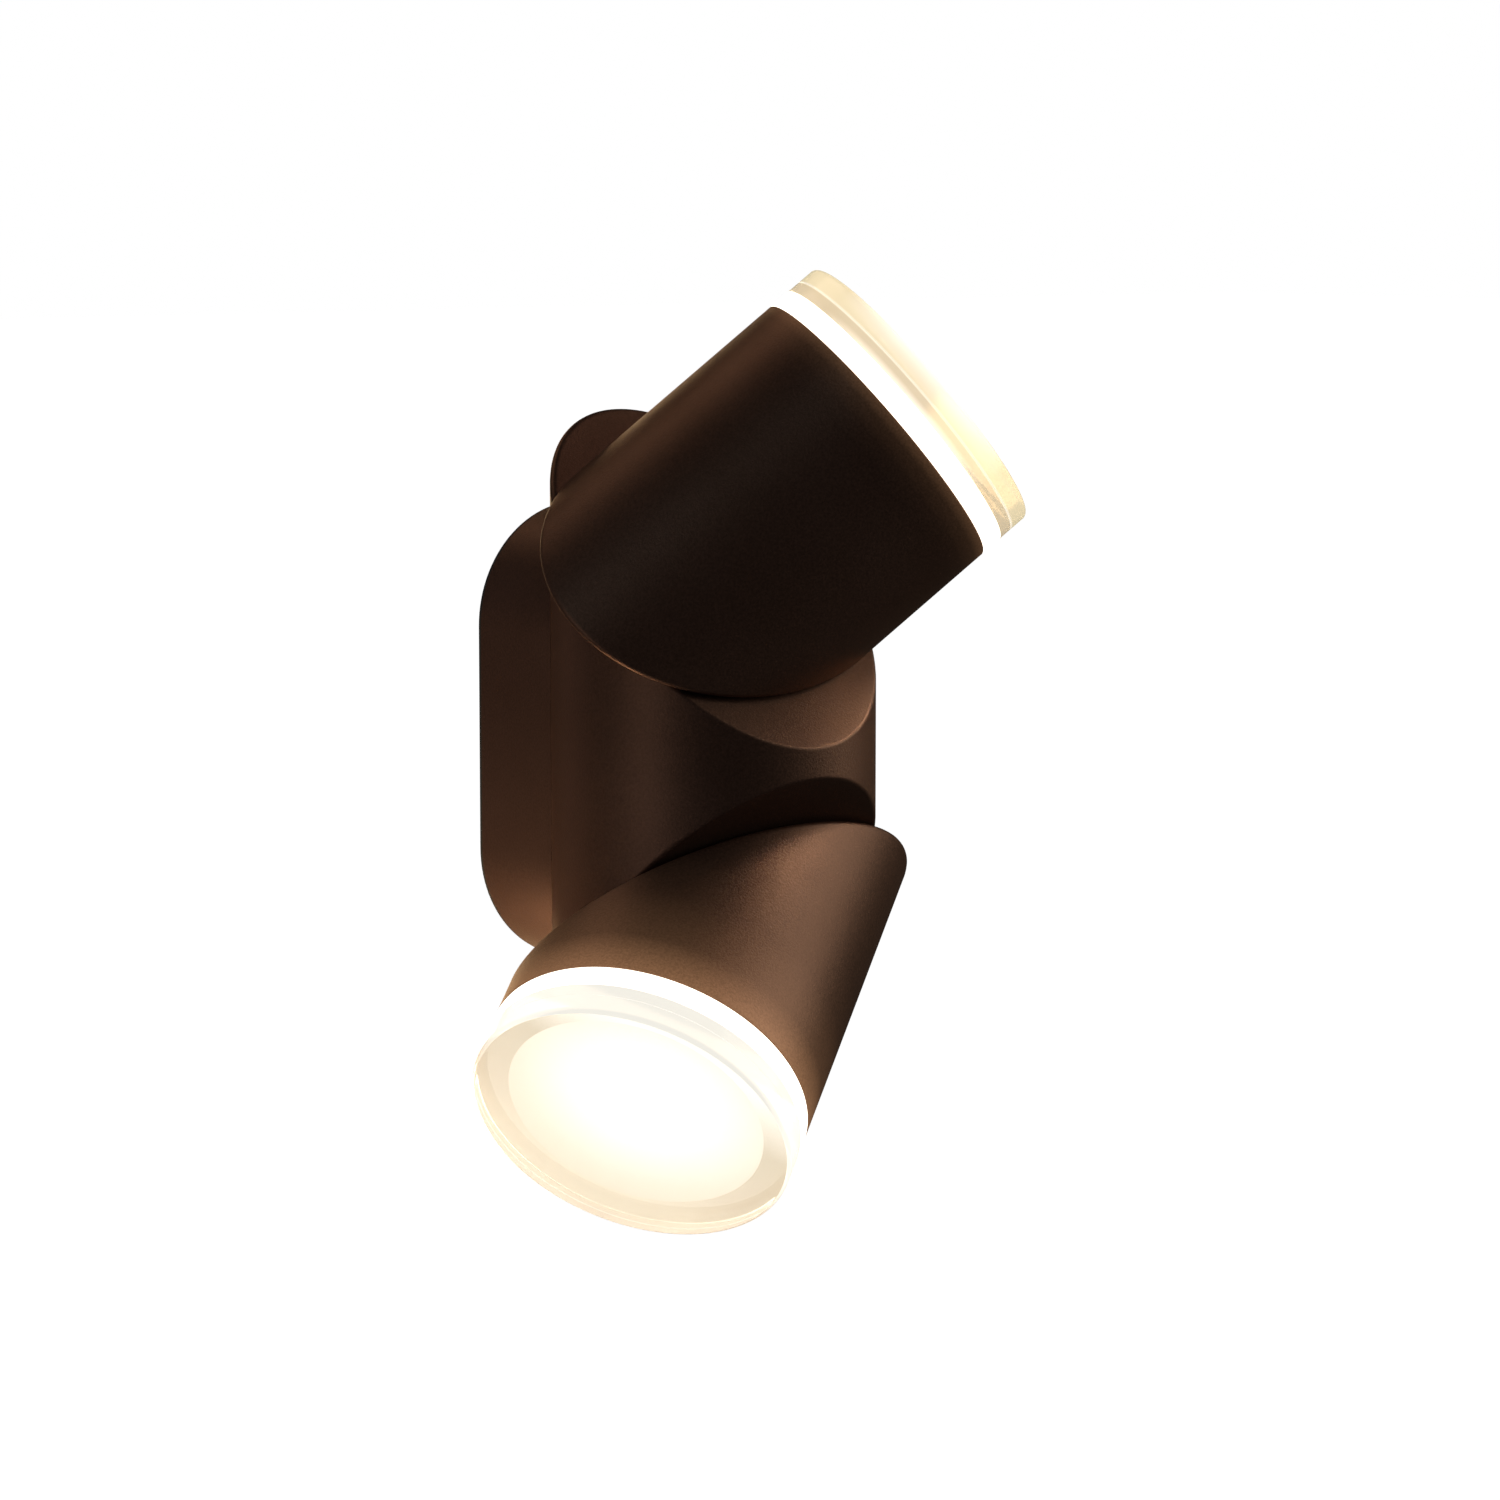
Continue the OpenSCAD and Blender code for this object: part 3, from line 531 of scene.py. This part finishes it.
def lens_rim(side):
    """Acrylic with painted glow from a lens's edge, tan beside the ring and cream beyond a painted bright line on
    the seam.
    """
    material, tree, shader = make_material(side + "_lens_edge")
    colours = RIM_COLOURS[side]
    shader.inputs["Base Color"].default_value = (*colours["acrylic"], 1)
    shader.inputs["Transmission Weight"].default_value = 0.45
    shader.inputs["IOR"].default_value = 1.2
    share = along_axis(tree, head_point(side, head_len + ring_h), head_axis(side), lens_h)
    seam = seam_h / lens_h
    # Painted glow in bands along the rim, with a painted bright line on the seam
    tint = ramp(tree, share, [
        (0.0, colours["tan"]),
        (seam - seam_outer, colours["tan"]),
        (seam - seam_inner, colours["seam"]),
        (seam + seam_inner, colours["seam"]),
        (seam + seam_outer, colours["cream"]),
        (1.0, colours["cream"]),
    ])
    # Painted light: the rim turns white towards one side of the head
    turn, stops = RIM_PAINTED_BRIGHT_SIDE[side]
    painted_brightness = ramp(tree, across_head(tree, side, turn), stops)
    if side == UPPER:
        painted_brightness = multiply(tree, painted_brightness, ramp(tree, share, UPPER_RIM_PAINTED_BAND))
    mix = tree.nodes.new("ShaderNodeMix")
    mix.data_type = "RGBA"
    link(tree, painted_brightness, mix.inputs["Factor"])
    link(tree, tint, mix.inputs["A"])
    mix.inputs["B"].default_value = (*colours["white"], 1)
    link(tree, mix.outputs["Result"], shader.inputs["Emission Color"])
    shader.inputs["Emission Strength"].default_value = 1.0
    link(tree, vary(tree, noise(tree, polish_scale, detail=1.0), 0.10, 0.16), shader.inputs["Roughness"])
    return material


def metal(name, colour, rough):
    """Bare or plated metal with fine variation."""
    material, tree, shader = make_material(name)
    shader.inputs["Metallic"].default_value = 1.0
    marks = noise(tree, metal_scale, detail=4.0)
    link(tree, vary(tree, marks, scaled(colour, 0.92), colour), shader.inputs["Base Color"])
    link(tree, vary(tree, marks, rough - 0.06, rough + 0.06), shader.inputs["Roughness"])
    bump(tree, shader, marks, distance=0.01 * MM, strength=0.2)
    return material


def plastic(name, colour, rough):
    """Moulded plastic or rubber with a fine grain."""
    material, tree, shader = make_material(name)
    grain = noise(tree, plastic_scale, detail=3.0)
    link(tree, vary(tree, grain, scaled(colour, 0.9), colour), shader.inputs["Base Color"])
    link(tree, vary(tree, grain, rough - 0.05, rough + 0.05), shader.inputs["Roughness"])
    bump(tree, shader, grain, distance=0.03 * MM, strength=0.3)
    return material


SLOT_MATERIALS = {
    "bronze_coat": bronze_coat(),
    "clear_lens": clear_lens(),
    "frosted_ring": glowing("frosted_ring", (0.95, 0.92, 0.85), (1.0, 0.91, 0.78), strength=2.4, dip=0.04),
    "led_board": plastic("led_board", (0.85, 0.85, 0.82), rough=0.4),
    "led_chips": glowing("led_chips", (0.9, 0.75, 0.3), (1.0, 0.82, 0.5), strength=6.0, dip=0.02),
    "bare_aluminium": metal("bare_aluminium", (0.62, 0.63, 0.64), rough=0.45),
    "zinc_steel": metal("zinc_steel", (0.66, 0.67, 0.69), rough=0.32),
    "green_screw": plastic("green_screw", (0.05, 0.28, 0.09), rough=0.4),
    "brass": metal("brass", (0.72, 0.53, 0.25), rough=0.3),
    "white_plastic": plastic("white_plastic", (0.82, 0.82, 0.8), rough=0.45),
    "black_rubber": plastic("black_rubber", (0.02, 0.02, 0.02), rough=0.7),
    "lead_jacket": plastic("lead_jacket", (0.025, 0.025, 0.027), rough=0.55),
    "friction_plastic": plastic("friction_plastic", (0.05, 0.05, 0.055), rough=0.5),
}


def dress_cad_nodes():
    """Gives every CAD node the material of its slot, but leaves the opal discs for their own."""
    slots = {part["node"]: part["material_slot"] for part in frame["record"]["subparts"]}
    for name, node in frame["nodes"].items():
        node.data.materials.clear()
        if slots[name] != "opal_diffuser":
            node.data.materials.append(SLOT_MATERIALS[slots[name]])


# Pieces


def cut_window(piece):
    """Cuts the wires' window into the back of the column's shell."""
    back = Vector((0, body_r - standoff, 0))
    size = Matrix.Diagonal((window_w, 2 * window_depth, window_h, 1))
    box = bmesh.new()
    bmesh.ops.create_cube(box, size=1.0, matrix=Matrix.Translation(back) @ size)
    mesh = bpy.data.meshes.new("window_cutter")
    box.to_mesh(mesh)
    box.free()
    cutter = bpy.data.objects.new("window_cutter", mesh)
    bpy.context.scene.collection.objects.link(cutter)
    cut = piece.modifiers.new("window", "BOOLEAN")
    cut.object = cutter
    cut.solver = "EXACT"
    graph = bpy.context.evaluated_depsgraph_get()
    result = bpy.data.meshes.new_from_object(piece.evaluated_get(graph))
    piece.modifiers.clear()
    piece.data = result
    result.set_sharp_from_angle(angle=smooth_angle)
    bpy.data.objects.remove(cutter)


def column_shell():
    """The column's shell, with rounded mitre edges and the wires' window in its back."""
    hole_r = spindle_r + bush_room
    outside = (body_r, mitre_edge_r, 0, 1)
    inside = (body_r - wall_t, inner_edge_r, face_t, -1)
    rows = []
    # The outside runs down from the upper hole to the lower one, and the inside runs back up
    for radius, edge_r, inset, order in (outside, inside):
        loop = []
        for end in (1, -1):
            normal = Vector((0, -math.sin(mitre), end * math.cos(mitre)))
            point = Vector((0, 0, end * pivot_rise)) - normal * inset
            part = mitre_rows(radius, edge_r, point, normal, hole_r)
            loop += part[::-1] if end == 1 else part
        rows += loop[::order]
    coat = SLOT_MATERIALS["bronze_coat"]
    piece = new_piece("column_shell", skin(rows, at_column()), "column", coat, "column_body")
    cut_window(piece)


def head_shell(side):
    """A head's housing, with its mitre edge and front rim rounded."""
    normal = Vector((0, math.sin(mitre), -math.cos(mitre)))
    outer_point = -normal * swivel_gap
    inner_point = -normal * (swivel_gap + face_t)
    rim = [(body_r, head_len - rim_support)]
    rim += arc((body_r - rim_edge_r, head_len - rim_edge_r), rim_edge_r, 0, 90, steps=6)
    rim += [(body_r - wall_t, head_len)]
    outer = mitre_rows(body_r, mitre_edge_r, outer_point, normal, spindle_r)
    inner = mitre_rows(body_r - wall_t, inner_edge_r, inner_point, normal, spindle_r)
    rows = outer[::-1] + lathe_rows(rim) + inner
    coat = bronze_coat(side + "_painted_glow_coat", side)
    name = side + "_housing_shell"
    piece = new_piece(name, skin(rows, at_head(side)), side + "_head", coat, side + "_housing")


def glow_ring(side):
    """The frosted ring between housing and lens, with a ledge that holds the diffuser."""
    low, high = head_len, head_len + ring_h
    ledge_z = high - ledge_depth
    edge_centre_r = body_r - fine_edge_r
    inner_r = body_r - ring_face_w
    ledge_r = inner_r - ledge_w
    spigot_r = body_r - wall_t - spigot_fit
    spigot_inner_r = spigot_r - spigot_t
    spigot_low = low - spigot_len
    profile = [(spigot_r, low), (edge_centre_r, low)]
    profile += arc((edge_centre_r, low + fine_edge_r), fine_edge_r, -90, 0, steps=4)
    profile += arc((edge_centre_r, high - fine_edge_r), fine_edge_r, 0, 90, steps=4)
    profile += [(inner_r, high), (inner_r, ledge_z), (ledge_r, ledge_z), (ledge_r, low)]
    profile += [(spigot_inner_r, low), (spigot_inner_r, spigot_low), (spigot_r, spigot_low)]
    bm = skin(lathe_rows(profile), at_head(side))
    axis = head_axis(side)
    bmesh.ops.recalc_face_normals(bm, faces=bm.faces)
    for face in bm.faces:
        is_front = face.normal.dot(axis) > ring_front_cosine
        face.material_index = 1 if is_front else 0
    acrylic = SLOT_MATERIALS["frosted_ring"]
    piece = new_piece(side + "_frosted_ring", bm, side + "_head", acrylic, side + "_glow_ring")
    piece.data.materials.append(ring_face(side))


def lens(side):
    """The thick clear puck, rounded at its front edge, with a fine seam round its rim."""
    low, high = head_len + ring_h, head_len + ring_h + lens_h
    base = low + lens_lift
    seam_z = low + seam_h
    profile = [(lens_centre_r, base), (body_r - lens_back_support, base)]
    profile += arc((body_r - fine_edge_r, low + fine_edge_r), fine_edge_r, -90, 0, steps=4)
    profile += [(body_r, low + lens_back_support)]
    profile += [(body_r, seam_z - seam_depth), (body_r - seam_depth, seam_z), (body_r, seam_z + seam_depth)]
    profile += [(body_r, high - lens_side_support)]
    profile += arc((body_r - lens_edge_r, high - lens_edge_r), lens_edge_r, 0, 90, steps=8)
    profile += [(body_r - lens_front_support, high), (lens_centre_r, high)]
    bm = skin(lathe_rows(profile), at_head(side), closed_profile=False)
    bm.verts.ensure_lookup_table()
    # One small face closes the middle of each end
    bm.faces.new(bm.verts[:around])
    bm.faces.new(bm.verts[-around:])
    bmesh.ops.recalc_face_normals(bm, faces=bm.faces)
    axis = head_axis(side)
    for face in bm.faces:
        is_end = abs(face.normal.dot(axis)) >= lens_end_cosine
        face.material_index = 0 if is_end else 1
    acrylic = SLOT_MATERIALS["clear_lens"]
    piece = new_piece(side + "_lens_puck", bm, side + "_head", acrylic, side + "_lens")
    piece.data.materials.append(lens_rim(side))


def dress_diffuser(side):
    """Gives the opal disc its glow."""
    frame["nodes"][side + "_diffuser"].data.materials.append(glowing_disc(side))


# Studio


def camera_axes():
    """The camera's backward, right and upward directions."""
    back = Vector((math.sin(camera_azimuth) * math.cos(camera_pitch),
                   -math.cos(camera_azimuth) * math.cos(camera_pitch),
                   math.sin(camera_pitch)))
    right = Vector((math.cos(camera_azimuth), math.sin(camera_azimuth), 0))
    return back, right, back.cross(right)


def from_camera(right, up, back):
    """A place given from the column's middle in the camera's own right, up and backward directions."""
    toward, sideways, upward = camera_axes()
    return Vector((0, -standoff, 0)) + sideways * right + upward * up + toward * back


def add_camera():
    """Camera at the photograph's place."""
    back = camera_axes()[0]
    data = bpy.data.cameras.new("camera")
    data.sensor_width = camera_sensor
    data.lens = camera_lens
    data.clip_start, data.clip_end = camera_clip
    camera = bpy.data.objects.new("camera", data)
    camera.location = from_camera(camera_right, camera_up, camera_distance)
    camera.rotation_mode = "QUATERNION"
    camera.rotation_quaternion = (-back).to_track_quat("-Z", "Y")
    bpy.context.scene.collection.objects.link(camera)
    bpy.context.scene.camera = camera


def add_light(name, place, target, size, power, colour):
    """A soft rectangular studio light."""
    data = bpy.data.lights.new(name, "AREA")
    data.shape = "RECTANGLE"
    data.size, data.size_y = size
    data.energy = power
    data.color = colour
    light = bpy.data.objects.new(name, data)
    light.location = place
    light.visible_camera = False
    light.rotation_mode = "QUATERNION"
    light.rotation_quaternion = (Vector(target) - Vector(place)).to_track_quat("-Z", "Y")
    bpy.context.scene.collection.objects.link(light)
    return light


def add_lights():
    """The soft boxes, then the two small lights close by."""
    target = (0, -standoff, 0)
    for name, place, size, power, colour in SOFT_BOXES:
        add_light(name, from_camera(*place), target, size, power, colour)
    crescent = add_light("crescent_box", *CRESCENT_BOX)
    crescent.data.spread = crescent_spread
    add_light("under_glow", *UNDER_GLOW)


def add_floor():
    """A white floor well below the light, bright enough to pass into the background."""
    mesh = bpy.data.meshes.new("floor")
    corners = [(-1, -1), (1, -1), (1, 1), (-1, 1)]
    mesh.from_pydata([(x * floor_half, y * floor_half, floor_level) for x, y in corners], [], [(0, 1, 2, 3)])
    floor = bpy.data.objects.new("floor", mesh)
    bpy.context.scene.collection.objects.link(floor)
    material, tree, shader = make_material("pale_floor")
    link(tree, vary(tree, noise(tree, floor_scale, detail=2.0), 0.93, 0.95), shader.inputs["Base Color"])
    shader.inputs["Roughness"].default_value = 0.9
    shader.inputs["Emission Color"].default_value = (1, 1, 1, 1)
    shader.inputs["Emission Strength"].default_value = 1.0
    mesh.materials.append(material)
    floor.visible_diffuse = False
    floor.visible_glossy = False


def add_world():
    """Plain white surroundings, which light the dark coat only faintly."""
    world = bpy.data.worlds.new("studio")
    world.use_nodes = True
    tree = world.node_tree
    background = tree.nodes["Background"]
    background.inputs["Color"].default_value = (1, 1, 1, 1)
    rays = tree.nodes.new("ShaderNodeLightPath")
    through = tree.nodes.new("ShaderNodeMath")
    through.operation = "ADD"
    through.use_clamp = True
    link(tree, rays.outputs["Is Camera Ray"], through.inputs[0])
    link(tree, rays.outputs["Transmission Depth"], through.inputs[1])
    level = tree.nodes.new("ShaderNodeMapRange")
    level.inputs["To Min"].default_value = dim_surroundings
    level.inputs["To Max"].default_value = 1.0
    link(tree, through.outputs["Value"], level.inputs["Value"])
    link(tree, level.outputs["Result"], background.inputs["Strength"])
    bpy.context.scene.world = world
    bpy.context.scene.view_settings.view_transform = "Standard"


add_camera()
dress_cad_nodes()
column_shell()
for side in (UPPER, LOWER):
    head_shell(side)
    glow_ring(side)
    lens(side)
    dress_diffuser(side)
add_floor()
add_world()
add_lights()
